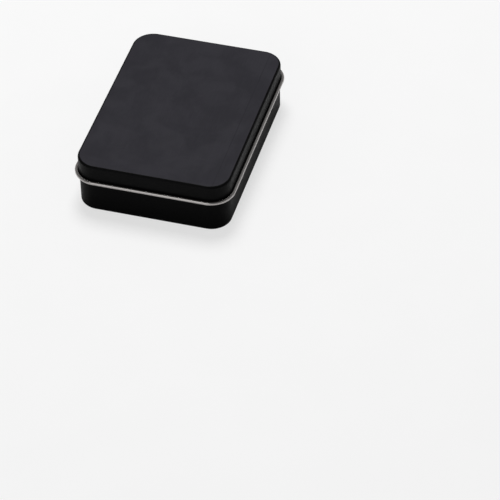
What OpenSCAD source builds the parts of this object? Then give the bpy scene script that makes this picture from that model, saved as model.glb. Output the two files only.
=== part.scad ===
// Hinged tin for one pack of playing cards.
// A deep drawn tray and a drawn lid with a rolled edge, joined along one long side by a steel wire.
// Origin at the middle of the base. X is the short side, Y the long side, Z up. The hinge is at -X.

/* [Tin] */
// Width over the lid's walls
lid_w = 66; // [56:0.5:90]
// Length over the lid's walls
lid_l = 92.5; // [82:0.5:130]
// Height of the closed tin
tin_h = 23.7; // [19:0.1:40]
// Corner radius of the lid in plan
corner_r = 9; // [7:0.25:12]
// Thickness of the tinplate
sheet = 0.25; // [0.2:0.01:0.3]

/* [Lid] */
// Outside radius of the lid's top edge
lid_edge_r = 1; // [0.7:0.05:1.25]
// From the lid's top down to the middle of its rolled edge
skirt_drop = 8.05; // [7.5:0.05:10]
// Gap between the tip of the rolled edge and the lid's wall
curl_gap = 0.08; // [0.05:0.01:0.15]

/* [Tray] */
// How far the tray's lower wall stands inside the lid's wall
wall_inset = 0.35; // [0.2:0.05:0.5]
// Play left where the front wall of the lid swings past the tray's rim
swing_play = 0.2; // [0.1:0.02:0.4]
// Height of the gap between the shoulder and the rolled edge
shoulder_gap = 0.45; // [0.3:0.05:1]
// Outside radius of the safe edge rolled inward at the rim
rim_roll_r = 0.45; // [0.4:0.01:0.6]
// Gap between the tip of the rim's roll and the neck
rim_gap = 0.05; // [0.03:0.01:0.08]
// Gap between the rim and the underside of the closed lid
seat_gap = 0.05; // [0.03:0.01:0.2]
// Outside radius of the edge between base and wall
base_edge_r = 1.2; // [0.8:0.1:2]
// Width of the flat ring that the tin stands on
base_ring_w = 3.5; // [2.5:0.1:4.5]
// How far the panel inside the ring is pressed up
base_recess = 0.5; // [0.4:0.05:0.8]

/* [Hinge] */
// Diameter of the hinge wire
wire_d = 1.3; // [1:0.05:1.6]
// Length of the hinge wire
wire_l = 60; // [54:1:64]
// Radial play between the wire and the ears
pin_play = 0.05; // [0.02:0.01:0.1]
// Width of one ear
ear_w = 7; // [4:0.5:10]
// Distance between the middles of the two ears
ear_pitch = 40; // [30:1:44]
// Inside radius of the bend at the root of an ear
ear_bend_r = 0.15; // [0.1:0.05:0.3]
// How far an ear wraps round the wire, in degrees
ear_wrap = 300; // [280:5:310]
// Gap beside an ear in the lid's window
window_side = 0.3; // [0.2:0.05:0.6]
// Gap above an ear in the lid's window
window_over = 0.7; // [0.4:0.05:1.2]
// Corner radius of the lid's windows and of the tray's slots
window_r = 0.5; // [0.2:0.05:0.8]
// Width of the cut beside an ear in the tray's slot
slot_side = 0.15; // [0.1:0.05:0.3]

/* [Hidden] */
$fn = 64;

// Longer than any sheet section, for wedges and cuts
reach = 4;

// The lid's edge is rolled tight round the wire
wire_r = wire_d / 2;
curl_r = wire_r + sheet;
hinge_z = tin_h - skirt_drop;
hinge_x = -lid_w / 2 - wire_r;
curl_tip_a = acos((curl_gap - wire_r) / curl_r);

// Half lengths of the straight runs between the corner arcs
run_x = lid_w / 2 - corner_r;
run_y = lid_l / 2 - corner_r;

// The rim seats under the lid, and the neck clears the front wall's swing, to a hundredth upward
rim_z = tin_h - sheet - seat_gap - rim_roll_r;
front_reach = lid_w / 2 - sheet - hinge_x;
swing_loss = front_reach - sqrt(pow(front_reach, 2) - pow(rim_z - hinge_z, 2));
neck_inset = ceil((sheet + swing_play + swing_loss) * 100) / 100;
rim_tip_a = acos((rim_roll_r - sheet - rim_gap) / rim_roll_r);

// Faces of the lower wall and of the neck, out from the axis of a corner
wall_x = corner_r - wall_inset;
neck_x = corner_r - neck_inset;

// Two bends step the wall in from its lower part to the neck
shoulder_step = neck_inset - wall_inset;
shoulder_r = shoulder_step / 2;
shoulder_x = wall_x - sheet / 2 - shoulder_r;
shoulder_z = hinge_z - curl_r - shoulder_gap - shoulder_step;

// The two bends of the base's step, inside the ring
recess_r = base_recess / 2;
ring_x = wall_x - base_edge_r - base_ring_w;

// An ear is a tongue cut from the neck, bent out under the wire and rolled round it
ear_r = wire_r + pin_play + sheet;
back_neck_x = -lid_w / 2 + neck_inset;
ear_bend_x = back_neck_x - ear_bend_r;
ear_root_z = hinge_z - ear_r - ear_bend_r;
ear_leg = ear_bend_x - hinge_x;
ear_open = 360 - ear_wrap;
ear_cut = PI / 2 * (ear_bend_r + sheet / 2) + ear_leg + ear_wrap / 180 * PI * (ear_r - sheet / 2);

// Wedge with its point at the origin, from angle a0 to a1, up to 120 degrees apart
module wedge(a0, a1) {
    am = (a0 + a1) / 2;
    polygon([
        [0, 0],
        [reach * cos(a0), reach * sin(a0)],
        [2 * reach * cos(am), 2 * reach * sin(am)],
        [reach * cos(a1), reach * sin(a1)]
    ]);
}

// Section of sheet rolled into a full ring of outside radius r
module rolled(r) {
    difference() {
        circle(r);
        circle(r - sheet);
    }
}

// Section of sheet bent round the origin from angle a0 to a1, with outside radius r
module bent(r, a0, a1) {
    intersection() {
        rolled(r);
        wedge(a0, a1);
    }
}

// Carries a section round the tin's plan. Section x is outward from the axis of a corner, y is height.
module round_plan() {
    for (side = [0:3]) {
        a = side % 2 == 0 ? run_x : run_y;
        b = side % 2 == 0 ? run_y : run_x;
        rotate([0, 0, 90 * side]) {
            translate([a, b, 0]) {
                rotate_extrude(angle = 90)
                    children();
                rotate([90, 0, 0])
                    linear_extrude(2 * b)
                        children();
            }
        }
    }
}

// Flat sheet between the straight runs, with its underside at height z
module middle_panel(z) {
    translate([-run_x, -run_y, z])
        cube([2 * run_x, 2 * run_y, sheet]);
}

// Opening with rounded top corners, cut along X through the back wall
module back_cut(w, z0, z1) {
    translate([hinge_x - reach, 0, 0])
        rotate([90, 0, 90])
            linear_extrude(back_neck_x + sheet + rim_roll_r - hinge_x + reach) {
                translate([-w / 2, z0])
                    square([w, z1 - window_r - z0]);
                translate([window_r - w / 2, z0])
                    square([w - 2 * window_r, z1 - z0]);
                for (s = [-1, 1])
                    translate([s * (w / 2 - window_r), z1 - window_r])
                        circle(window_r);
            }
}

// Section of the lid: panel, edge, wall and the edge rolled outward
module lid_section() {
    translate([0, tin_h - sheet])
        square([corner_r - lid_edge_r, sheet]);
    translate([corner_r - lid_edge_r, tin_h - lid_edge_r])
        bent(lid_edge_r, 0, 90);
    translate([corner_r - sheet, hinge_z])
        square([sheet, skirt_drop - lid_edge_r]);
    translate([corner_r + wire_r, hinge_z])
        difference() {
            rolled(curl_r);
            wedge(curl_tip_a, 180);
        }
}

// Section of the base: panel, its step down, standing ring and edge
module base_section() {
    translate([0, base_recess])
        square([ring_x - base_recess, sheet]);
    translate([ring_x - base_recess, sheet / 2 + recess_r])
        bent(recess_r + sheet / 2, 0, 90);
    translate([ring_x, sheet / 2 + recess_r])
        bent(recess_r + sheet / 2, 180, 270);
    translate([ring_x, 0])
        square([base_ring_w, sheet]);
    translate([wall_x - base_edge_r, base_edge_r])
        bent(base_edge_r, -90, 0);
}

// Section of the tray's wall: lower wall, shoulder, neck and the rim rolled inward
module wall_section() {
    translate([wall_x - sheet, base_edge_r])
        square([sheet, shoulder_z - base_edge_r]);
    translate([shoulder_x, shoulder_z])
        bent(shoulder_r + sheet / 2, 0, 90);
    translate([shoulder_x, shoulder_z + shoulder_step])
        bent(shoulder_r + sheet / 2, 180, 270);
    translate([neck_x - sheet, shoulder_z + shoulder_step])
        square([sheet, rim_z - shoulder_z - shoulder_step]);
    translate([neck_x - rim_roll_r, rim_z])
        difference() {
            rolled(rim_roll_r);
            wedge(-rim_tip_a, 0);
        }
}

// Section of an ear seen along the hinge, with the neck's face to its right
module ear_section() {
    translate([ear_bend_x, ear_root_z])
        bent(ear_bend_r + sheet, 0, 90);
    translate([hinge_x, hinge_z - ear_r])
        square([ear_leg, sheet]);
    translate([hinge_x, hinge_z])
        difference() {
            rolled(ear_r);
            wedge(-90, ear_open - 90);
        }
}

// Both ears, standing out of the back wall round the wire
module ears() {
    for (s = [-1, 1])
        translate([0, s * ear_pitch / 2 + ear_w / 2, 0])
            rotate([90, 0, 0])
                linear_extrude(ear_w)
                    ear_section();
}

// Drawn tray with its two ears
module tin_body() color([0.06, 0.06, 0.065]) {
    difference() {
        union() {
            round_plan() {
                base_section();
                wall_section();
            }
            middle_panel(base_recess);
        }
        for (s = [-1, 1])
            translate([0, s * ear_pitch / 2, 0])
                back_cut(ear_w + 2 * slot_side, ear_root_z, ear_root_z + ear_cut);
    }
    ears();
}

// Drawn lid, its rolled edge and back wall opened round the ears
module tin_lid() color([0.2, 0.2, 0.21]) {
    difference() {
        union() {
            round_plan()
                lid_section();
            middle_panel(tin_h - sheet);
        }
        for (s = [-1, 1])
            translate([0, s * ear_pitch / 2, 0])
                back_cut(ear_w + 2 * window_side, hinge_z - reach, hinge_z + ear_r + window_over);
    }
}

// Steel wire that the lid's back edge is rolled round
module hinge_wire() color([0.7, 0.69, 0.67])
    translate([hinge_x, wire_l / 2, hinge_z])
        rotate([90, 0, 0])
            cylinder(h = wire_l, r = wire_r);

tin_body();
tin_lid();
hinge_wire();
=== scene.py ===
"""Finished shells, hinge, stage and camera for a hinged tin that holds one pack of playing cards.

The lid and the tray are drawn from tinplate, lacquered black outside and left bare inside. Each is
worked out as a section carried round the tin's plan. Lengths are metres, the hinge is at -X and the
base at z = 0.
"""

import math

import bpy
import numpy as np
from bpy.props import FloatProperty, FloatVectorProperty, PointerProperty
from mathutils import Matrix, Vector


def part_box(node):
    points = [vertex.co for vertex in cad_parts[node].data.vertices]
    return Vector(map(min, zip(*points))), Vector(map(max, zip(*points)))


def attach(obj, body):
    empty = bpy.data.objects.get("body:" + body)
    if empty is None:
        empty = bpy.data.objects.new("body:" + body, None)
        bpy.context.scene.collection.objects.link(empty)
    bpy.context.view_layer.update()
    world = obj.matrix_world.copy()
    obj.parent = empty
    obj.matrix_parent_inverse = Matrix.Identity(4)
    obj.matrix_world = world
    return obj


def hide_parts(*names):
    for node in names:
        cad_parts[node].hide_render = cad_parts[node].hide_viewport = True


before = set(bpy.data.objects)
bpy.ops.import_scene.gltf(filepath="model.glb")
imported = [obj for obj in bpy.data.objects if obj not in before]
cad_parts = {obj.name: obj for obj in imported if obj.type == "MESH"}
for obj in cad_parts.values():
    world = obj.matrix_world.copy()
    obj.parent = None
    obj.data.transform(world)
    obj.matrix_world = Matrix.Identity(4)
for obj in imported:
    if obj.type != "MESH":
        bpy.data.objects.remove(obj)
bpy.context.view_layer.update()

bl_info = {
    "name": "Hinged card tin",
    "version": (1, 0, 0),
    "blender": (4, 5, 0),
    "location": "3D View > Sidebar > Card tin",
    "description": "Makes the shells, the hinge and the stage of a hinged tin for playing cards",
    "category": "Object",
}

MM = 0.001

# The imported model's box, and what its pieces say about the tin
LID_LOW, LID_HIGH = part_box("tin_lid")
TRAY_LOW, TRAY_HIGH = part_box("tin_body")
WIRE_LOW, WIRE_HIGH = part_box("hinge_wire")


def neat(length):
    """A length read from the frame, to the nearest thousandth of a millimetre."""
    return round(length, 6)


WIRE_RADIUS = neat((WIRE_HIGH.x - WIRE_LOW.x) / 2)
HINGE_X = neat((WIRE_HIGH.x + WIRE_LOW.x) / 2)
HINGE_Z = neat((WIRE_HIGH.z + WIRE_LOW.z) / 2)
SHEET = neat(WIRE_LOW.x - LID_LOW.x)
HALF_WIDTH = neat(-HINGE_X - WIRE_RADIUS)
HALF_LENGTH = neat(LID_HIGH.y - 2 * WIRE_RADIUS - SHEET)

# How finely the shells are divided
STATION_GAP = 1.5 * MM
CORNER_STEPS = 24
PANEL_RINGS = 22
PANEL_CORNER = 2.5 * MM
# Section points over which the rolled edge's flaw fades in
ROLL_FADE = 8
# Steps round the wire's circle and along it
WIRE_SIDES = 48
WIRE_RINGS = 41
# The wire's radius is this much under the roll's, so that no two faces lie in one place
WIRE_SLIP = 0.003 * MM
# Points closer than this are one point. The shift keeps round numbers off the edge of a cell.
WELD = 2e-7
WELD_SHIFT = 0.137
SHARP_ANGLE = math.radians(40)
# A station faces back where its normal's X is under this
FACES_BACK = -0.999

# How fine the patterns of single finishes are, per metre
PEEL = 1400.0
STAINS = 50.0
WIRE_LINES = 9000.0
WIRE_STAINS = 300.0
FLOOR_TONES = 40.0
# From the middle of the floor to its edges, and how far it lies under the tin
FLOOR_REACH = 3
FLOOR_DROP = 0.01 * MM


def length_setting(name, description, default):
    """A length in the sidebar."""
    return FloatProperty(
        name=name, description=description, default=default, unit="LENGTH", precision=5)


def angle_setting(name, description, degrees):
    """An angle in the sidebar."""
    return FloatProperty(
        name=name, description=description, default=math.radians(degrees), subtype="ANGLE")


def colour_setting(name, description, default):
    """A colour in the sidebar."""
    return FloatVectorProperty(
        name=name, description=description, default=default, subtype="COLOR", min=0, max=1)


def share_setting(name, description, default):
    """A number from 0 to 1 in the sidebar."""
    return FloatProperty(name=name, description=description, default=default, min=0, max=1)


class CardTinSheet(bpy.types.PropertyGroup):
    """Sizes that the lid and the tray share."""

    half_width: length_setting("Half width", "From the middle to the lid's long wall", HALF_WIDTH)
    half_length: length_setting("Half length", "From the middle to the lid's short wall", HALF_LENGTH)
    corner_radius: length_setting("Corner radius", "Radius of the lid's corners from above", 9 * MM)
    sheet: length_setting("Sheet", "Thickness of the tinplate", SHEET)


class CardTinLid(bpy.types.PropertyGroup):
    """Sizes of the lid."""

    top: length_setting("Top", "Height of the lid's top above the table", neat(LID_HIGH.z))
    edge_radius: length_setting("Edge radius", "Outside radius between the top and the walls", 1 * MM)
    roll_gap: length_setting("Roll gap", "From the tip of the rolled edge to the wall", 0.08 * MM)
    roll_flaw: length_setting("Roll flaw", "How unevenly the edge is rolled", 0.03 * MM)
    hollow: length_setting("Hollow", "How far the middle of the top has sunk in pressing", 0.05 * MM)


class CardTinTray(bpy.types.PropertyGroup):
    """Sizes of the tray."""

    wall_inset: length_setting(
        "Wall inset", "How far the lower wall stands inside the lid's wall",
        neat(HALF_WIDTH - TRAY_HIGH.x))
    neck_inset: length_setting("Neck inset", "How far the neck stands inside the lid's wall", 0.86 * MM)
    neck_base: length_setting("Neck base", "Height at which the neck begins", 14.3 * MM)
    rim: length_setting("Rim", "Height of the rolled rim above the table", neat(TRAY_HIGH.z))
    rim_roll: length_setting("Rim roll", "Outside radius of the edge rolled in at the rim", 0.45 * MM)
    rim_gap: length_setting("Rim gap", "From the tip of the rim's roll to the neck", 0.05 * MM)
    base_edge: length_setting("Base edge", "Outside radius between the base and the wall", 1.2 * MM)
    ring_width: length_setting("Standing ring", "Width of the ring that the tin stands on", 3.5 * MM)
    recess: length_setting("Recess", "How far the base is pressed up inside the ring", 0.5 * MM)


class CardTinHinge(bpy.types.PropertyGroup):
    """Sizes of the wire, the tray's ears and the openings that they need."""

    axis_x: length_setting("Axis X", "Place of the hinge's axis across the tin", HINGE_X)
    axis_z: length_setting("Axis Z", "Height of the hinge's axis", HINGE_Z)
    wire_radius: length_setting("Wire radius", "Radius of the hinge wire", WIRE_RADIUS)
    wire_end: length_setting(
        "Wire end", "From the middle to either end of the wire", neat(WIRE_HIGH.y))
    wire_cut: length_setting("Wire cut", "Bevel left where the wire was cut", 0.12 * MM)
    ear_radius: length_setting(
        "Ear radius", "Outside radius of an ear's eye", neat(HINGE_X - TRAY_LOW.x))
    ear_width: length_setting("Ear width", "Width of one ear", 7 * MM)
    ear_pitch: length_setting("Ear pitch", "Distance between the middles of the ears", 40 * MM)
    ear_bend: length_setting("Ear bend", "Inside radius of the bend at an ear's root", 0.15 * MM)
    ear_wrap: angle_setting("Ear wrap", "How far an ear goes round the wire", 300)
    window_side: length_setting("Window side", "Gap beside an ear in the lid's window", 0.3 * MM)
    window_over: length_setting("Window over", "Gap above an ear in the lid's window", 0.7 * MM)
    slot_side: length_setting("Slot side", "Width of the cut beside an ear in the tray", 0.15 * MM)
    opening_corner: length_setting("Opening corner", "Corner radius of windows and slots", 0.5 * MM)


class CardTinFinish(bpy.types.PropertyGroup):
    """Colours and gloss of the lacquer, the bare metal and the wire."""

    lacquer: colour_setting(
        "Lacquer", "Colour of the black lacquer on the walls", (0.0022, 0.0022, 0.0023))
    # Painted light: the two flat-panel colours below are about ten times lighter than the walls'
    # lacquer and tinted blue, so the lid's top looks lit by a bluish lamp; the cloudy change between
    # them is the lacquer's own.
    panel: colour_setting(
        "Panel", "Colour of the duller lacquer on flat panels", (0.0250, 0.0240, 0.0298))
    lit_haze: colour_setting(
        "Bloom", "Colour of the panels where they are hazy", (0.0350, 0.0338, 0.0408))
    lacquer_roughness: share_setting("Lacquer roughness", "Roughness of the satin lacquer", 0.42)
    lid_gloss: share_setting("Lid gloss", "Strength of the reflection of the lid's lacquer", 0.046)
    tray_gloss: share_setting(
        "Tray gloss", "Strength of the reflection of the tray's lacquer", 0.027)
    # Painted light: the bare inside is painted lighter than the rolled edge, which is the same inner
    # face of the sheet.
    tinplate: colour_setting("Tinplate", "Colour of the bare tinplate inside", (0.74, 0.73, 0.71))
    tinplate_roughness: share_setting(
        "Tinplate roughness", "Roughness of the bare tinplate inside", 0.24)
    # Painted shade: the rolled edge is the same bare tinplate face as the inside, painted darker.
    edge: colour_setting(
        "Edge", "Colour of the rolled edge, which hands have dulled", (0.43, 0.41, 0.40))
    edge_roughness: share_setting("Edge roughness", "Roughness of the rolled edge", 0.16)
    wire: colour_setting("Wire", "Colour of the drawn steel wire", (0.50, 0.49, 0.48))
    wire_roughness: share_setting("Wire roughness", "Roughness of the drawn steel wire", 0.28)
    # A faint line along the top where the lacquer is a little darker and rougher; it has no relief.
    faint_line_x: length_setting("Score line", "Place of the faint line pressed along the top", 26.8 * MM)


class CardTinStage(bpy.types.PropertyGroup):
    """Camera, lamps and floor."""

    azimuth: angle_setting("Azimuth", "Turn of the camera round the tin", 16.447)
    elevation: angle_setting("Elevation", "Height of the camera above the horizon", 42.456)
    roll: angle_setting("Roll", "Turn of the camera about its own axis", -1.024)
    distance: length_setting("Distance", "From the camera to the spot of the floor it aims at", 1.1191)
    aim: FloatVectorProperty(
        name="Aim", description="Spot of the floor that the camera aims at", size=2,
        default=(44.86 * MM, -53.11 * MM), unit="LENGTH", precision=5)
    lens: FloatProperty(name="Lens", description="Focal length in millimetres", default=196.74)
    high_lamp: FloatProperty(
        name="High lamp", description="Brightness of the soft lamp above and behind", default=14.0)
    front_lamp: FloatProperty(
        name="Front lamp", description="Brightness of the broad soft lamp in front", default=0.9)
    ambient: FloatProperty(
        name="Ambient", description="Brightness of the light from all round", default=0.3)
    overhead: FloatProperty(
        name="Overhead", description="Brightness of that light straight overhead", default=0.03)
    floor: colour_setting("Floor", "Colour of the floor", (0.9, 0.9, 0.9))
    floor_white: share_setting("Floor white", "Share of plain white in what the floor shows", 0.66)
    glossy_white: share_setting("Glossy white", "How much of that white reflections show", 0.22)


def straight(start, end, count):
    """A run of a section from start to end, both included: points and normals.

    The share of the way is (1 - cos(pi k)) / 2 for k from 0 to 1, so points crowd at both ends. The
    normal lies to the left of the way.
    """
    start = np.array(start)
    way = np.array(end) - start
    share = (1 - np.cos(np.pi * np.linspace(0, 1, count))) / 2
    left = np.array((-way[1], way[0])) / np.hypot(*way)
    return start + share[:, None] * way, np.tile(left, (count, 1))


def turn(centre, radius, first, last, count):
    """An arc of a section: centre + radius (cos a, sin a), for a from first to last in radians.

    The normal lies to the left of the way, so it points at the centre where the angle grows.
    """
    angle = np.linspace(first, last, count)
    ray = np.column_stack((np.cos(angle), np.sin(angle)))
    return np.array(centre) + radius * ray, ray * (-1 if last > first else 1)


def joined(*runs):
    """Runs in a row as one line: points, normals and the place of each run's last point."""
    points = [run[0][min(k, 1):] for k, run in enumerate(runs)]
    normals = [run[1][min(k, 1):] for k, run in enumerate(runs)]
    ends = np.cumsum([len(part) for part in points]) - 1
    return np.concatenate(points), np.concatenate(normals), ends


def arc_length(points):
    """Distance along a section to each of its points."""
    return np.append(0, np.cumsum(np.hypot(*np.diff(points, axis=0).T)))


def spaced(stops):
    """The stops in rising order, with even steps between them of a station gap at most."""
    stops = np.unique(np.round(stops, 9))
    counts = np.ceil(np.diff(stops) / STATION_GAP).astype(int)
    runs = [np.linspace(a, b, n, endpoint=False) for a, b, n in zip(stops[:-1], stops[1:], counts)]
    return np.append(np.concatenate(runs), stops[-1])


def plan_stations(sizes, back_stops):
    """Origins and normals of the stations round the tin's plan, anticlockwise seen from above.

    An origin runs round the rectangle through the axes of the four corners. On a straight side the
    normal is the side's own, and at a corner it is (cos a, sin a) for a through a quarter turn. A
    section's point that stands x beyond the axes lies at origin + x normal.
    """
    across = sizes.half_width - sizes.corner_radius
    along = sizes.half_length - sizes.corner_radius
    corner = np.radians(np.linspace(0, 90, CORNER_STEPS + 1))
    origins, normals = [], []
    for side in range(4):
        reach, run = (across, along) if side % 2 == 0 else (along, across)
        steps = spaced([-run, *(back_stops if side == 2 else ()), run])[1:-1]
        cos, sin = np.round((math.cos(side * math.pi / 2), math.sin(side * math.pi / 2)))
        spin = np.array(((cos, sin), (-sin, cos)))
        origins += [np.column_stack((np.full(steps.size, reach), steps)) @ spin]
        origins += [np.tile((reach, run), (corner.size, 1)) @ spin]
        normals += [np.tile((1.0, 0.0), (steps.size, 1)) @ spin]
        normals += [np.column_stack((np.cos(corner), np.sin(corner))) @ spin]
    return np.concatenate(origins), np.concatenate(normals)


def opening_stops(hinge, width):
    """Places along the back wall where an opening over each ear needs a station.

    They are points of its corner arcs, at r sin(a) past the arc's start, for a from 0 to 90 degrees.
    """
    radius = hinge.opening_corner
    arc = width / 2 - radius + radius * np.sin(np.radians(np.linspace(0, 90, 7)))
    middle = hinge.ear_pitch / 2
    return [ear * middle + way * step for ear in (-1, 1) for way in (-1, 1) for step in arc]


def opening_rise(hinge, width, origins, normals):
    """How far an opening's upper edge lies above the start of its corner arcs: sqrt(r^2 - d^2).

    d is how far a station lies past the start of the arc, from 0 to r, so it is 0 beside the opening.
    """
    radius = hinge.opening_corner
    past = np.abs(np.abs(origins[:, 1]) - hinge.ear_pitch / 2) - (width / 2 - radius)
    rise = np.sqrt(radius ** 2 - np.clip(past, 0, radius) ** 2)
    return np.where(normals[:, 0] < FACES_BACK, rise, 0)


def in_opening(hinge, width, origins, normals):
    """True for each station whose gap to the next one lies in an opening of the back wall."""
    middle = (origins + np.roll(origins, -1, axis=0))[:, 1] / 2
    faces_back = (normals + np.roll(normals, -1, axis=0))[:, 0] / 2 < FACES_BACK
    return faces_back & (np.abs(np.abs(middle) - hinge.ear_pitch / 2) < width / 2)


def skin(origins, normals, x, z):
    """Carries one face of a section round the plan: origin + x normal, at height z."""
    plan = origins[:, None, :] + x[:, :, None] * normals[:, None, :]
    return np.concatenate((plan, z[:, :, None]), axis=2)


def carried(sizes, stations, section, start, side, z_shift):
    """Both faces of a sheet whose middle line is a section, carried round the plan, and its blank.

    A face lies half a sheet from the middle line along its normal. side is 1 where the outer face is to
    the left of the way and -1 where it is to the right. z_shift moves each section point up at each
    station. The blank's grid holds origin + s normal, as if the sheet were unrolled flat: s is the
    distance along the section, and start at its first point. Its last column is the size of the
    normal's level part, from 0 on the flat to 1 on a wall: the mask with which the lacquer paints
    light on flat panels.
    """
    points, lefts = section[:2]
    faces = []
    for way in (side, -side):
        x = points[:, 0] + way * lefts[:, 0] * sizes.sheet / 2 + sizes.corner_radius
        z = points[:, 1] + way * lefts[:, 1] * sizes.sheet / 2
        faces.append(skin(*stations, np.broadcast_to(x, z_shift.shape), z + z_shift))
    length = start + arc_length(points) - side * z_shift
    # Mask for the painted light on flat panels: 0 on the flat, 1 on a wall.
    drawn = np.broadcast_to(np.abs(lefts[:, 0]), z_shift.shape)
    return faces[0], faces[1], skin(*stations, length, drawn)


def with_panel(grid, hollow=0):
    """Closes a face over its first ring with rings of the same outline.

    Each is a share s of the first ring, from 0 in the middle, and sinks by hollow * (1 - s^2).
    """
    share = np.linspace(0, 1, PANEL_RINGS, endpoint=False)
    rings = grid[:, :1, :] * np.stack((share, share, np.ones_like(share)), axis=-1)
    rings[:, :, 2] -= hollow * (1 - share ** 2)
    return np.concatenate((rings, grid), axis=1)


def closed_sheet(outer, inner, keep, flip):
    """Faces of a sheet between two grids that have the same stations and section points.

    A cell that keep drops leaves a hole. Each edge between a kept cell and a hole, or the grid's
    border, gets a face across the sheet. Returns the points, the faces, and 0 for each outer face and
    1 for the others.
    """
    ids = np.arange(outer.shape[0] * outer.shape[1]).reshape(outer.shape[:2])
    ahead = np.roll(ids, -1, axis=0)
    cells = np.stack((ids[:, :-1], ids[:, 1:], ahead[:, 1:], ahead[:, :-1]), axis=-1)
    padded = np.pad(keep, ((0, 0), (1, 1)))
    beside = (np.roll(keep, 1, axis=0), padded[:, 2:], np.roll(keep, -1, axis=0), padded[:, :-2])
    open_edge = keep[:, :, None] & ~np.stack(beside, axis=-1)
    start = cells[open_edge]
    end = np.roll(cells, -1, axis=-1)[open_edge]
    across = np.column_stack((end, start, start + ids.size, end + ids.size))
    faces = np.concatenate((cells[keep], cells[keep][:, ::-1] + ids.size, across))
    face_side = np.repeat((0, 1), (keep.sum(), keep.sum() + len(across)))
    points = np.concatenate((outer.reshape(-1, 3), inner.reshape(-1, 3)))
    return points, faces[:, ::-1] if flip else faces, face_side


def welded(points, faces):
    """Joins equal points, and drops faces that shrink to a line and pairs of faces that lie together.

    Returns which points stay, and for each face its corners, which of them stay, and whether it does.
    """
    cell = np.round(points / WELD + WELD_SHIFT).astype(np.int64)
    _, first, group = np.unique(cell, axis=0, return_index=True, return_inverse=True)
    corner = group.reshape(-1)[faces]
    stays = corner != np.roll(corner, 1, axis=1)
    _, twin, count = np.unique(np.sort(corner, axis=1), axis=0, return_inverse=True, return_counts=True)
    face_kept = (stays.sum(axis=1) > 2) & (count[twin.reshape(-1)] == 1)
    used = np.unique(corner[face_kept])
    place = np.zeros(first.size, int)
    place[used] = np.arange(used.size)
    return first[used], place[corner], stays, face_kept


def make_piece(name, points, faces, face_side, blank, materials):
    """Makes a smooth mesh object from closed surfaces.

    Its UV map holds the flat blank's coordinates, and an attribute holds the mask for the lacquer's
    painted light: 0 on flat panels, 1 on walls.
    """
    used, corner, stays, face_kept = welded(points, faces)
    corner, stays = corner[face_kept], stays[face_kept]
    mesh = bpy.data.meshes.new(name)
    mesh.from_pydata(points[used].tolist(), [], [c[s].tolist() for c, s in zip(corner, stays)])
    mesh.polygons.foreach_set("material_index", face_side[face_kept].astype(np.int32))
    uv_map = mesh.uv_layers.new(name="blank")
    uv_map.data.foreach_set("uv", blank[faces[face_kept][stays], :2].astype(np.float32).ravel())
    # Mask for the painted light on flat panels, 0 on the flat and 1 on a wall.
    drawn = mesh.attributes.new("drawn", "FLOAT", "POINT")
    drawn.data.foreach_set("value", blank[used, 2].astype(np.float32))
    mesh.shade_smooth()
    mesh.set_sharp_from_angle(angle=SHARP_ANGLE)
    if mesh.validate():
        raise RuntimeError(f"{name} has faces that Blender can't keep")
    for material in materials:
        mesh.materials.append(material)
    piece = bpy.data.objects.new(name, mesh)
    bpy.context.scene.collection.objects.link(piece)
    return piece


def fitted(piece, body, node):
    """Rides a finished piece on its body, in place of its CAD node."""
    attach(piece, body)
    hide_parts(node)


def window_width(hinge):
    """Width of the lid's window over an ear."""
    return hinge.ear_width + 2 * hinge.window_side


def window_base(hinge):
    """Height at which the corner arcs of the lid's windows begin."""
    return hinge.axis_z + hinge.ear_radius + hinge.window_over - hinge.opening_corner


def lid_section(sizes, lid, hinge):
    """Middle line of the lid's sheet: panel, edge, wall and the edge rolled outward round the wire."""
    half = sizes.sheet / 2
    roll = hinge.wire_radius + sizes.sheet
    tip = math.acos((lid.roll_gap - hinge.wire_radius) / roll)
    wall_top = lid.top - lid.edge_radius
    panel_z = lid.top - half
    return joined(
        straight((PANEL_CORNER - sizes.corner_radius, panel_z), (-lid.edge_radius, panel_z), count=10),
        turn((-lid.edge_radius, wall_top), lid.edge_radius - half, math.pi / 2, 0, count=13),
        straight((-half, wall_top), (-half, window_base(hinge)), count=9),
        straight((-half, window_base(hinge)), (-half, hinge.axis_z), count=6),
        turn((hinge.wire_radius, hinge.axis_z), roll - half, math.pi, 2 * math.pi + tip, count=41))


def roll_flaws(grid, stations, roll_start, sizes, lid, hinge):
    """Draws the rolled edge in unevenly, towards its own axis, by flaw * (2 + sin 9a + sin 23a) / 4.

    a is a station's direction from the tin's middle. The move fades in over the roll's first points,
    and out round to the back wall, where the roll is tight on the wire.
    """
    origins, normals = stations
    around = np.arctan2(origins[:, 1], origins[:, 0])
    depth = lid.roll_flaw * (2 + np.sin(9 * around) + np.sin(23 * around)) / 4
    depth = depth * np.clip(1 + normals[:, 0], 0, 1)
    fade = np.clip((np.arange(grid.shape[1]) - roll_start) / ROLL_FADE, 0, 1)
    axis_x = np.full((len(origins), 1), sizes.corner_radius + hinge.wire_radius)
    axis = skin(*stations, axis_x, np.full_like(axis_x, hinge.axis_z))
    ray = grid - axis
    ray /= np.linalg.norm(ray, axis=2, keepdims=True)
    return grid - ray * np.outer(depth, fade)[:, :, None]


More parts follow.
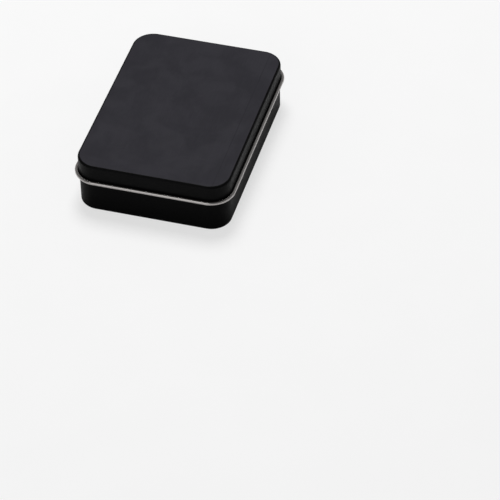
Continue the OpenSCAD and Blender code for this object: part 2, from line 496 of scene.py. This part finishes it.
def lid_surfaces(sizes, lid, hinge):
    """The lid as one closed sheet, with its windows and the small flaws of its pressing.

    Its faces count 0 outside, 1 inside and 2 on the roll, which shows the sheet's inner face.
    """
    width = window_width(hinge)
    base = window_base(hinge)
    stations = plan_stations(sizes, opening_stops(hinge, width))
    section = lid_section(sizes, lid, hinge)
    window_row, roll_start = section[2][2:4]
    wall_top = lid.top - lid.edge_radius
    share = np.clip((wall_top - section[0][:, 1]) / (wall_top - base), 0, 1)
    z_shift = np.outer(opening_rise(hinge, width, *stations), share)
    outer, inner, blank = carried(sizes, stations, section, PANEL_CORNER, 1, z_shift)
    outer, inner = (
        with_panel(roll_flaws(face, stations, roll_start, sizes, lid, hinge), lid.hollow)
        for face in (outer, inner))
    blank = with_panel(blank).reshape(-1, 3)
    keep = np.ones((outer.shape[0], outer.shape[1] - 1), bool)
    below = np.arange(keep.shape[1]) >= PANEL_RINGS + window_row
    keep[np.ix_(in_opening(hinge, width, *stations), below)] = False
    points, faces, face_side = closed_sheet(outer, inner, keep, False)
    # The roll's inner faces take the darker tinplate, painted shade; the rest of the inner face takes
    # the lighter one, painted light.
    rolled = faces[:, 0] % outer.shape[1] >= PANEL_RINGS + roll_start
    return points, faces, face_side * (1 + rolled), np.concatenate((blank, blank))


def tray_section(sizes, tray, hinge):
    """Middle line of the tray's sheet: panel, step, ring, edge, wall, shoulder, neck and rim."""
    half = sizes.sheet / 2
    edge_x = -tray.wall_inset - tray.base_edge
    ring_x = edge_x - tray.ring_width
    bend = tray.recess / 2
    wall_x = -tray.wall_inset - half
    neck_x = -tray.neck_inset - half
    shoulder = (wall_x - neck_x) / 2
    shoulder_x = (wall_x + neck_x) / 2
    wall_top = tray.neck_base - 2 * shoulder
    rim_z = tray.rim - tray.rim_roll
    tip = math.acos((tray.rim_roll - sizes.sheet - tray.rim_gap) / tray.rim_roll)
    slot_z = slot_base(sizes, tray, hinge)
    roll_x = -tray.neck_inset - tray.rim_roll
    return joined(
        straight((PANEL_CORNER - sizes.corner_radius, tray.recess + half),
                 (ring_x - tray.recess, tray.recess + half), count=4),
        turn((ring_x - tray.recess, half + bend), bend, math.pi / 2, 0, count=7),
        turn((ring_x, half + bend), bend, math.pi, 1.5 * math.pi, count=7),
        straight((ring_x, half), (edge_x, half), count=8),
        turn((edge_x, tray.base_edge), tray.base_edge - half, -math.pi / 2, 0, count=13),
        straight((wall_x, tray.base_edge), (wall_x, wall_top), count=10),
        turn((shoulder_x, wall_top), shoulder, 0, math.pi / 2, count=7),
        turn((shoulder_x, tray.neck_base), shoulder, 1.5 * math.pi, math.pi, count=7),
        straight((neck_x, tray.neck_base), (neck_x, ear_root(hinge)), count=3),
        straight((neck_x, ear_root(hinge)), (neck_x, slot_z), count=8),
        straight((neck_x, slot_z), (neck_x, rim_z), count=8),
        turn((roll_x, rim_z), tray.rim_roll - half, 0, 2 * math.pi - tip, count=33))


def ear_root(hinge):
    """Height at which an ear leaves the neck, under its eye and its bend."""
    return hinge.axis_z - hinge.ear_radius - hinge.ear_bend


def ear_leg(sizes, tray, hinge):
    """Length of an ear's flat part, from its bend to under the hinge's axis."""
    return tray.neck_inset - hinge.ear_bend - hinge.axis_x - sizes.half_width


def slot_width(hinge):
    """Width of the slot that an ear leaves in the neck."""
    return hinge.ear_width + 2 * hinge.slot_side


def slot_base(sizes, tray, hinge):
    """Height at which the slots' corner arcs begin: the ear's flat length above its root, less r."""
    half = sizes.sheet / 2
    bend = math.pi / 2 * (hinge.ear_bend + half)
    eye = hinge.ear_wrap * (hinge.ear_radius - half)
    return ear_root(hinge) + bend + ear_leg(sizes, tray, hinge) + eye - hinge.opening_corner


def ear_section(sizes, tray, hinge):
    """Middle line of an ear: bend out of the neck, flat part under the wire and eye round it."""
    half = sizes.sheet / 2
    bend_x = hinge.ear_bend - tray.neck_inset
    axis = bend_x + ear_leg(sizes, tray, hinge)
    leg_z = hinge.axis_z - hinge.ear_radius + half
    down = 1.5 * math.pi
    return joined(
        turn((bend_x, ear_root(hinge)), hinge.ear_bend + half, math.pi, math.pi / 2, count=9),
        straight((bend_x, leg_z), (axis, leg_z), count=5),
        turn((axis, hinge.axis_z), hinge.ear_radius - half, down, down + hinge.ear_wrap, count=57))


def tray_surfaces(sizes, tray, hinge):
    """The tray as one closed sheet, with its slots and the two ears bent out of them."""
    width = slot_width(hinge)
    middle, side = hinge.ear_pitch / 2, hinge.ear_width / 2
    ear_sides = [ear * middle + way * side for ear in (-1, 1) for way in (-1, 1)]
    stations = plan_stations(sizes, opening_stops(hinge, width) + ear_sides)
    section = tray_section(sizes, tray, hinge)
    root_row, slot_row, rim_row = section[2][8:11]
    z = section[0][:, 1]
    rising = np.clip((z - z[root_row]) / (z[slot_row] - z[root_row]), 0, 1)
    fading = np.clip((z[rim_row] - z) / (z[rim_row] - z[slot_row]), 0, 1)
    share = np.where(np.arange(z.size) < rim_row, np.minimum(rising, fading), 0)
    z_shift = np.outer(opening_rise(hinge, width, *stations), share)
    outer, inner, blank = carried(sizes, stations, section, PANEL_CORNER, -1, z_shift)
    outer, inner, blank = with_panel(outer), with_panel(inner), with_panel(blank).reshape(-1, 3)
    keep = np.ones((outer.shape[0], outer.shape[1] - 1), bool)
    rows = np.arange(keep.shape[1]) - PANEL_RINGS
    in_slot = (rows >= root_row) & (rows < slot_row)
    keep[np.ix_(in_opening(hinge, width, *stations), in_slot)] = False
    parts = [(*closed_sheet(outer, inner, keep, True), np.concatenate((blank, blank)))]
    start = PANEL_CORNER + arc_length(section[0])[root_row]
    parts += [ear_surfaces(sizes, tray, hinge, stations, start, ear) for ear in (-1, 1)]
    offsets = np.cumsum([0] + [len(part[0]) for part in parts[:-1]])
    faces = [part[1] + offset for part, offset in zip(parts, offsets)]
    points, sides, blanks = (np.concatenate([part[k] for part in parts]) for k in (0, 2, 3))
    return points, np.concatenate(faces), sides, blanks


def ear_surfaces(sizes, tray, hinge, stations, start, ear):
    """One ear as a closed sheet over the stations of its width, which the neck shares."""
    origins, normals = stations
    off_middle = np.abs(origins[:, 1] - ear * hinge.ear_pitch / 2)
    own = (normals[:, 0] < FACES_BACK) & (off_middle < hinge.ear_width / 2 + WELD)
    section = ear_section(sizes, tray, hinge)
    still = np.zeros((own.sum(), len(section[0])))
    outer, inner, blank = carried(sizes, (origins[own], normals[own]), section, start, -1, still)
    keep = np.ones((outer.shape[0], outer.shape[1] - 1), bool)
    keep[-1] = False
    blank = blank.reshape(-1, 3)
    return *closed_sheet(outer, inner, keep, True), np.concatenate((blank, blank))


def wire_surfaces(hinge):
    """The wire: a profile of radius against length, turned about the hinge's axis.

    A point is axis + radius (cos a, sin a) at y. The blank's coordinates are the way round and y.
    """
    cut = hinge.wire_cut
    radius = hinge.wire_radius - WIRE_SLIP
    body = np.linspace(cut - hinge.wire_end, hinge.wire_end - cut, WIRE_RINGS)
    y = np.concatenate(([-hinge.wire_end] * 2, body, [hinge.wire_end] * 2))
    reach = np.concatenate(([0, radius - cut], np.full(body.size, radius), [radius - cut, 0]))
    angle = np.linspace(0, 2 * math.pi, WIRE_SIDES, endpoint=False)
    x = hinge.axis_x + np.outer(np.cos(angle), reach)
    z = hinge.axis_z + np.outer(np.sin(angle), reach)
    points = np.stack((x, np.tile(y, (angle.size, 1)), z), axis=-1).reshape(-1, 3)
    ids = np.arange(angle.size * y.size).reshape(angle.size, y.size)
    ahead = np.roll(ids, -1, axis=0)
    faces = np.stack((ids[:, :-1], ids[:, 1:], ahead[:, 1:], ahead[:, :-1]), axis=-1).reshape(-1, 4)
    around = np.tile(angle[:, None] * radius, (1, y.size))
    blank = np.stack((around, np.tile(y, (angle.size, 1)), np.ones_like(around)), axis=-1)
    return points, faces, np.zeros(len(faces), int), blank.reshape(-1, 3)


def put(tree, kind, inputs=None, **settings):
    """Adds a node, sets its settings, and gives each input a value or a link from a socket."""
    node = tree.nodes.new(kind)
    for name, value in settings.items():
        setattr(node, name, value)
    for name, value in (inputs or {}).items():
        if isinstance(value, bpy.types.NodeSocket):
            tree.links.new(value, node.inputs[name])
        else:
            node.inputs[name].default_value = value
    return node


def maths(tree, operation, first, second=0.0, clamp=False):
    """Output of a Math node."""
    node = put(tree, "ShaderNodeMath", {0: first, 1: second}, operation=operation, use_clamp=clamp)
    return node.outputs[0]


def remapped(tree, value, low, high, to_low=0.0, to_high=1.0):
    """A value eased from low..high to to_low..to_high."""
    inputs = {"Value": value, "From Min": low, "From Max": high, "To Min": to_low, "To Max": to_high}
    return put(tree, "ShaderNodeMapRange", inputs, interpolation_type="SMOOTHSTEP").outputs["Result"]


def noise(tree, vector, scale, detail=2.0, roughness=0.5, distortion=0.0):
    """Output of a noise texture, about 0 to 1."""
    inputs = {
        "Vector": vector, "Scale": scale, "Detail": detail,
        "Roughness": roughness, "Distortion": distortion}
    return put(tree, "ShaderNodeTexNoise", inputs).outputs["Fac"]


def stretched(tree, vector, factors):
    """Coordinates multiplied by factors, so that a pattern draws out where a factor is small."""
    return put(tree, "ShaderNodeVectorMath", {0: vector, 1: factors}, operation="MULTIPLY").outputs[0]


def new_group(name, inputs, outputs):
    """A shader node group with named sockets: the tree, its inputs and its output node."""
    tree = bpy.data.node_groups.new(name, "ShaderNodeTree")
    for socket, kind, value in inputs:
        made = tree.interface.new_socket(name=socket, in_out="INPUT", socket_type=kind)
        if value is not None:
            made.default_value = value
    for socket in outputs:
        tree.interface.new_socket(name=socket, in_out="OUTPUT", socket_type="NodeSocketFloat")
    return tree, tree.nodes.new("NodeGroupInput").outputs, tree.nodes.new("NodeGroupOutput")


def rolling_grain(name):
    """Fine lines and broad bands along the blank's Y, as a rolling mill leaves them."""
    tree, given, made = new_group(
        name,
        [("Blank", "NodeSocketVector", None), ("Lines per metre", "NodeSocketFloat", 5000.0),
         ("Bands per metre", "NodeSocketFloat", 400.0)],
        ["Lines", "Bands"])
    fine = stretched(tree, given["Blank"], (1.0, 0.03, 1.0))
    broad = stretched(tree, given["Blank"], (1.0, 0.08, 1.0))
    lines = noise(tree, fine, given["Lines per metre"], detail=3.0, roughness=0.6)
    bands = noise(tree, broad, given["Bands per metre"])
    tree.links.new(lines, made.inputs["Lines"])
    tree.links.new(bands, made.inputs["Bands"])
    return tree


def handling_marks(name):
    """Soft clouds where hands have dulled a surface, and a scatter of fine flecks."""
    tree, given, made = new_group(
        name,
        [("Place", "NodeSocketVector", None), ("Clouds per metre", "NodeSocketFloat", 75.0),
         ("Flecks per metre", "NodeSocketFloat", 2500.0)],
        ["Cloud", "Fleck"])
    cloud = noise(
        tree, given["Place"], given["Clouds per metre"], detail=5.0, roughness=0.55, distortion=0.3)
    fleck = noise(tree, given["Place"], given["Flecks per metre"], detail=1.0)
    tree.links.new(remapped(tree, cloud, 0.34, 0.66), made.inputs["Cloud"])
    tree.links.new(remapped(tree, fleck, 0.66, 0.78), made.inputs["Fleck"])
    return tree


def new_material(name, groups):
    """A material with a Principled shader, and its own copy of each group's sockets."""
    material = bpy.data.materials.new(name)
    material.use_nodes = True
    tree = material.node_tree
    tree.nodes.clear()
    shader = tree.nodes.new("ShaderNodeBsdfPrincipled")
    output = tree.nodes.new("ShaderNodeOutputMaterial")
    tree.links.new(shader.outputs["BSDF"], output.inputs["Surface"])
    placed = [put(tree, "ShaderNodeGroup", node_tree=group) for group in groups]
    return material, tree, shader, placed


def blank_place(tree):
    """The flat blank's coordinates, so that a pattern follows the sheet over its bends."""
    return put(tree, "ShaderNodeUVMap", uv_map="blank").outputs["UV"]


def object_place(tree):
    """Coordinates fixed to the piece, in metres."""
    return put(tree, "ShaderNodeTexCoord").outputs["Object"]


def mixed(tree, factor, first, second):
    """Colour between first and second."""
    return put(tree, "ShaderNodeMix", {0: factor, 6: first, 7: second}, data_type="RGBA").outputs[2]


def opaque(colour, gain=1.0):
    """A colour property with full alpha, brightened by gain."""
    return (*(channel * gain for channel in colour), 1.0)


def lacquer_material(name, grain, marks, finish, gloss):
    """Satin black lacquer: hazy clouds, the plate's grain showing through, and one faint line along the
    top.

    The line's mask is 1 on the line and fades out 0.10 to 0.32 mm beside it. haze = 0.7 cloud +
    lines + 0.3 bands - 0.5 - 0.5 line mask, from 0 to 1. Flat panels go from the panel colour to the
    hazy one with it; both are painted light, lighter and bluer than the walls, which have the
    lacquer's own black where the attribute drawn is high. Haze lowers the roughness and the line raises
    it. The bump is the lacquer's peel, the plate's lines and flecks of dust.
    """
    material, tree, shader, (rolled, handled) = new_material(name, (grain, marks))
    blank = blank_place(tree)
    place = object_place(tree)
    tree.links.new(blank, rolled.inputs["Blank"])
    tree.links.new(place, handled.inputs["Place"])
    cloud, fleck = handled.outputs["Cloud"], handled.outputs["Fleck"]
    lines, bands = rolled.outputs["Lines"], rolled.outputs["Bands"]
    across = put(tree, "ShaderNodeSeparateXYZ", {0: blank}).outputs["X"]
    # The faint line along the top: darker, rougher lacquer with no relief.
    off_line = maths(tree, "ABSOLUTE", maths(tree, "SUBTRACT", across, finish.faint_line_x))
    faint_line = remapped(tree, off_line, 0.10 * MM, 0.32 * MM, 1.0, 0.0)
    streak = maths(tree, "ADD", lines, maths(tree, "MULTIPLY", bands, 0.3))
    haze = maths(tree, "MULTIPLY", cloud, 0.7)
    haze = maths(tree, "ADD", haze, maths(tree, "SUBTRACT", streak, 0.5))
    haze = maths(tree, "SUBTRACT", haze, maths(tree, "MULTIPLY", faint_line, 0.5), clamp=True)
    flat = mixed(tree, haze, opaque(finish.panel), opaque(finish.lit_haze))
    # Painted light: this mask keeps flat panels in their lighter, bluish colours and gives the walls
    # the plain black lacquer.
    drawn = put(tree, "ShaderNodeAttribute", attribute_name="drawn").outputs["Fac"]
    colour = mixed(tree, remapped(tree, drawn, 0.0, 0.3), flat, opaque(finish.lacquer))
    tree.links.new(colour, shader.inputs["Base Color"])
    duller = maths(tree, "MULTIPLY", maths(tree, "SUBTRACT", 1.0, haze), 0.06)
    rough = maths(tree, "ADD", duller, finish.lacquer_roughness - 0.03)
    rough = maths(tree, "ADD", rough, maths(tree, "MULTIPLY", faint_line, 0.05))
    tree.links.new(rough, shader.inputs["Roughness"])
    shader.inputs["Specular IOR Level"].default_value = gloss
    peel = noise(tree, place, PEEL)
    height = maths(tree, "ADD", peel, maths(tree, "MULTIPLY", lines, 0.5))
    height = maths(tree, "ADD", height, maths(tree, "MULTIPLY", fleck, 0.6))
    bump = put(tree, "ShaderNodeBump", {"Strength": 0.25, "Distance": 0.02 * MM, "Height": height})
    tree.links.new(bump.outputs["Normal"], shader.inputs["Normal"])
    return material


def tinplate_material(name, grain, marks, colour, roughness):
    """Bare tinplate: fine rolling grain, broad soft bands and faint stains.

    tone = 0.5 lines + 0.4 bands + 0.1 cloud, and the colour is 0.84 to 1.12 of the given one with it.
    The roughness is the given one + 0.1 lines - 0.03 cloud.
    """
    material, tree, shader, (rolled, handled) = new_material(name, (grain, marks))
    tree.links.new(blank_place(tree), rolled.inputs["Blank"])
    tree.links.new(object_place(tree), handled.inputs["Place"])
    handled.inputs["Clouds per metre"].default_value = STAINS
    cloud = handled.outputs["Cloud"]
    lines, bands = rolled.outputs["Lines"], rolled.outputs["Bands"]
    grained = maths(tree, "MULTIPLY", lines, 0.5)
    banded = maths(tree, "ADD", grained, maths(tree, "MULTIPLY", bands, 0.4))
    tone = maths(tree, "ADD", banded, maths(tree, "MULTIPLY", cloud, 0.1), clamp=True)
    shade = mixed(tree, tone, opaque(colour, 0.84), opaque(colour, 1.12))
    tree.links.new(shade, shader.inputs["Base Color"])
    shader.inputs["Metallic"].default_value = 1.0
    stain = maths(tree, "MULTIPLY", cloud, -0.03)
    rough = maths(tree, "ADD", stain, maths(tree, "MULTIPLY", lines, 0.10))
    tree.links.new(maths(tree, "ADD", rough, roughness), shader.inputs["Roughness"])
    height = maths(tree, "ADD", lines, maths(tree, "MULTIPLY", handled.outputs["Fleck"], 0.4))
    bump = put(tree, "ShaderNodeBump", {"Strength": 0.3, "Distance": 0.001 * MM, "Height": height})
    tree.links.new(bump.outputs["Normal"], shader.inputs["Normal"])
    return material


def wire_material(name, grain, marks, finish):
    """Drawn steel wire: lines along its length and dull patches.

    tone = 0.6 lines + 0.4 cloud, and the colour is 0.75 to 1.15 of the wire's with it. The roughness
    is the wire's - 0.04 + 0.12 cloud.
    """
    material, tree, shader, (rolled, handled) = new_material(name, (grain, marks))
    tree.links.new(blank_place(tree), rolled.inputs["Blank"])
    rolled.inputs["Lines per metre"].default_value = WIRE_LINES
    tree.links.new(object_place(tree), handled.inputs["Place"])
    handled.inputs["Clouds per metre"].default_value = WIRE_STAINS
    lines, cloud = rolled.outputs["Lines"], handled.outputs["Cloud"]
    grained = maths(tree, "MULTIPLY", lines, 0.6)
    tone = maths(tree, "ADD", grained, maths(tree, "MULTIPLY", cloud, 0.4))
    colour = mixed(tree, tone, opaque(finish.wire, 0.75), opaque(finish.wire, 1.15))
    tree.links.new(colour, shader.inputs["Base Color"])
    shader.inputs["Metallic"].default_value = 1.0
    duller = maths(tree, "MULTIPLY", cloud, 0.12)
    rough = maths(tree, "ADD", duller, finish.wire_roughness - 0.04)
    tree.links.new(rough, shader.inputs["Roughness"])
    bump = put(tree, "ShaderNodeBump", {"Strength": 0.3, "Distance": 0.01 * MM, "Height": lines})
    tree.links.new(bump.outputs["Normal"], shader.inputs["Normal"])
    return material


def shared_material(name, make, *looks):
    """The material of that name, made with the two shared groups the first time it is asked for."""
    groups = bpy.data.node_groups
    grain = groups.get("Rolling grain") or rolling_grain("Rolling grain")
    marks = groups.get("Handling marks") or handling_marks("Handling marks")
    return bpy.data.materials.get(name) or make(name, grain, marks, *looks)


def sheet_materials(finish, lacquer, gloss):
    """Materials of a sheet's faces: 0 outside, 1 inside and 2 on the rolled edge."""
    # The inside and the rolled edge are one tinplate face in two colours: painted light inside, painted
    # shade on the edge.
    inside = (finish.tinplate, finish.tinplate_roughness)
    return [
        shared_material(lacquer, lacquer_material, finish, gloss),
        shared_material("Bare tinplate", tinplate_material, *inside),
        shared_material("Rolled edge", tinplate_material, finish.edge, finish.edge_roughness)]


def seen_white(tree, glossy):
    """1 for camera and transmission rays, glossy for glossy rays, 0 for rays that light things."""
    rays = tree.nodes.new("ShaderNodeLightPath").outputs
    reflected = maths(tree, "MULTIPLY", rays["Is Glossy Ray"], glossy)
    seen = maths(tree, "ADD", rays["Is Camera Ray"], reflected)
    return maths(tree, "ADD", seen, rays["Is Transmission Ray"], clamp=True)


def floor_material(stage):
    """Pale floor. What the camera and reflections see of it is lifted towards plain white."""
    material = bpy.data.materials.new("Pale floor")
    material.use_nodes = True
    tree = material.node_tree
    tree.nodes.clear()
    place = object_place(tree)
    tone = remapped(tree, noise(tree, place, FLOOR_TONES, detail=3.0), 0.3, 0.7)
    colour = mixed(tree, tone, opaque(stage.floor, 0.99), opaque(stage.floor, 1.01))
    matt = put(tree, "ShaderNodeBsdfDiffuse", {"Color": colour})
    white = put(tree, "ShaderNodeEmission", {"Strength": 1.0})
    share = maths(tree, "MULTIPLY", seen_white(tree, stage.glossy_white), stage.floor_white)
    mix = put(tree, "ShaderNodeMixShader", {0: share, 1: matt.outputs[0], 2: white.outputs[0]})
    output = tree.nodes.new("ShaderNodeOutputMaterial")
    tree.links.new(mix.outputs[0], output.inputs["Surface"])
    return material


def make_floor(stage):
    """A flat square floor just under the tin."""
    corners = FLOOR_REACH * np.array(((-1, -1), (1, -1), (1, 1), (-1, 1)), float)
    points = np.column_stack((corners, np.full(4, -FLOOR_DROP)))
    mesh = bpy.data.meshes.new("floor")
    mesh.from_pydata(points.tolist(), [], [(0, 1, 2, 3)])
    mesh.materials.append(floor_material(stage))
    floor = bpy.data.objects.new("floor", mesh)
    bpy.context.scene.collection.objects.link(floor)


def make_world(stage):
    """Soft light from all round, dimmer overhead.

    Height is 0 on the level and 1 straight up. The light goes from ambient to overhead from 0.5 up.
    """
    world = bpy.data.worlds.new("Studio")
    world.use_nodes = True
    tree = world.node_tree
    tree.nodes.clear()
    towards = put(tree, "ShaderNodeTexCoord").outputs["Generated"]
    height = put(tree, "ShaderNodeSeparateXYZ", {0: towards}).outputs["Z"]
    strength = remapped(tree, height, 0.5, 1.0, stage.ambient, stage.overhead)
    background = put(tree, "ShaderNodeBackground", {"Color": (1, 1, 1, 1), "Strength": strength})
    output = tree.nodes.new("ShaderNodeOutputWorld")
    tree.links.new(background.outputs[0], output.inputs["Surface"])
    bpy.context.scene.world = world


def make_lamp(name, towards, width, radiance, distance=1.0):
    """A round soft lamp that faces the tin. Its power is radiance * pi * area."""
    lamp = bpy.data.lights.new(name, "AREA")
    lamp.shape = "DISK"
    lamp.size = width
    lamp.energy = radiance * math.pi * math.pi * width ** 2 / 4
    holder = bpy.data.objects.new(name, lamp)
    back = Vector(towards).normalized()
    holder.location = back * distance
    holder.rotation_euler = (-back).to_track_quat("-Z", "Y").to_euler()
    holder.visible_camera = False
    bpy.context.scene.collection.objects.link(holder)


def make_camera(stage):
    """The camera at the photograph's angle: back from its aim against the view, then rolled."""
    azimuth, elevation = stage.azimuth, stage.elevation
    back = Vector((
        math.sin(azimuth) * math.cos(elevation),
        -math.cos(azimuth) * math.cos(elevation),
        math.sin(elevation)))
    data = bpy.data.cameras.new("camera")
    data.lens = stage.lens
    data.clip_start, data.clip_end = 0.05, 20
    camera = bpy.data.objects.new("camera", data)
    upright = (-back).to_track_quat("-Z", "Y").to_matrix().to_4x4()
    place = Matrix.Translation(Vector((*stage.aim, 0)) + back * stage.distance)
    camera.matrix_world = place @ upright @ Matrix.Rotation(stage.roll, 4, "Z")
    bpy.context.scene.collection.objects.link(camera)
    bpy.context.scene.camera = camera


class CARDTIN_OT_lid(bpy.types.Operator):
    """Make the drawn lid with its rolled edge and its windows"""

    bl_idname = "cardtin.lid"
    bl_label = "Make lid"

    def execute(self, context):
        scene = context.scene
        finish = scene.cardtin_finish
        surfaces = lid_surfaces(scene.cardtin_sheet, scene.cardtin_lid, scene.cardtin_hinge)
        materials = sheet_materials(finish, "Lid lacquer", finish.lid_gloss)
        fitted(make_piece("lid_shell", *surfaces, materials), "lid", "tin_lid")
        return {"FINISHED"}


class CARDTIN_OT_tray(bpy.types.Operator):
    """Make the drawn tray with its rolled rim and its two ears"""

    bl_idname = "cardtin.tray"
    bl_label = "Make tray"

    def execute(self, context):
        scene = context.scene
        finish = scene.cardtin_finish
        surfaces = tray_surfaces(scene.cardtin_sheet, scene.cardtin_tray, scene.cardtin_hinge)
        materials = sheet_materials(finish, "Tray lacquer", finish.tray_gloss)[:2]
        fitted(make_piece("tray_shell", *surfaces, materials), "tray", "tin_body")
        return {"FINISHED"}


class CARDTIN_OT_wire(bpy.types.Operator):
    """Make the steel wire that the lid's back edge is rolled round"""

    bl_idname = "cardtin.wire"
    bl_label = "Make hinge wire"

    def execute(self, context):
        scene = context.scene
        material = shared_material("Drawn steel", wire_material, scene.cardtin_finish)
        wire = make_piece("drawn_wire", *wire_surfaces(scene.cardtin_hinge), [material])
        fitted(wire, "lid", "hinge_wire")
        return {"FINISHED"}


class CARDTIN_OT_stage(bpy.types.Operator):
    """Make the floor, the lamps, the surrounding light and the camera"""

    bl_idname = "cardtin.stage"
    bl_label = "Make stage"

    def execute(self, context):
        stage = context.scene.cardtin_stage
        context.scene.view_settings.view_transform = "Standard"
        make_floor(stage)
        make_world(stage)
        make_lamp("high_lamp", (-0.10, 0.30, 0.95), width=0.46, radiance=stage.high_lamp)
        make_lamp("front_lamp", (-0.20, -0.90, 0.37), width=0.78, radiance=stage.front_lamp)
        make_camera(stage)
        return {"FINISHED"}


class CARDTIN_PT_sidebar(bpy.types.Panel):
    """Sizes, colours and makers of the card tin"""

    bl_idname = "CARDTIN_PT_sidebar"
    bl_label = "Card tin"
    bl_space_type = "VIEW_3D"
    bl_region_type = "UI"
    bl_category = "Card tin"

    def draw(self, context):
        layout = self.layout
        for name, group in SETTINGS.items():
            box = layout.box()
            box.label(text=group.__name__.removeprefix("CardTin"))
            for setting in group.__annotations__:
                box.prop(getattr(context.scene, name), setting)
        for maker in MAKERS:
            layout.operator(maker.bl_idname)


SETTINGS = {
    "cardtin_sheet": CardTinSheet,
    "cardtin_lid": CardTinLid,
    "cardtin_tray": CardTinTray,
    "cardtin_hinge": CardTinHinge,
    "cardtin_finish": CardTinFinish,
    "cardtin_stage": CardTinStage,
}
MAKERS = (CARDTIN_OT_stage, CARDTIN_OT_lid, CARDTIN_OT_tray, CARDTIN_OT_wire)


def register():
    """Adds the settings, the operators and the panel."""
    for group in SETTINGS.values():
        bpy.utils.register_class(group)
    for name, group in SETTINGS.items():
        setattr(bpy.types.Scene, name, PointerProperty(type=group))
    for maker in MAKERS:
        bpy.utils.register_class(maker)
    bpy.utils.register_class(CARDTIN_PT_sidebar)


def unregister():
    """Takes out what register added."""
    bpy.utils.unregister_class(CARDTIN_PT_sidebar)
    for maker in reversed(MAKERS):
        bpy.utils.unregister_class(maker)
    for name in SETTINGS:
        delattr(bpy.types.Scene, name)
    for group in reversed(SETTINGS.values()):
        bpy.utils.unregister_class(group)


def main():
    """Registers the add-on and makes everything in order."""
    register()
    bpy.ops.cardtin.stage()
    bpy.ops.cardtin.lid()
    bpy.ops.cardtin.tray()
    bpy.ops.cardtin.wire()


if __name__ == "__main__":
    main()
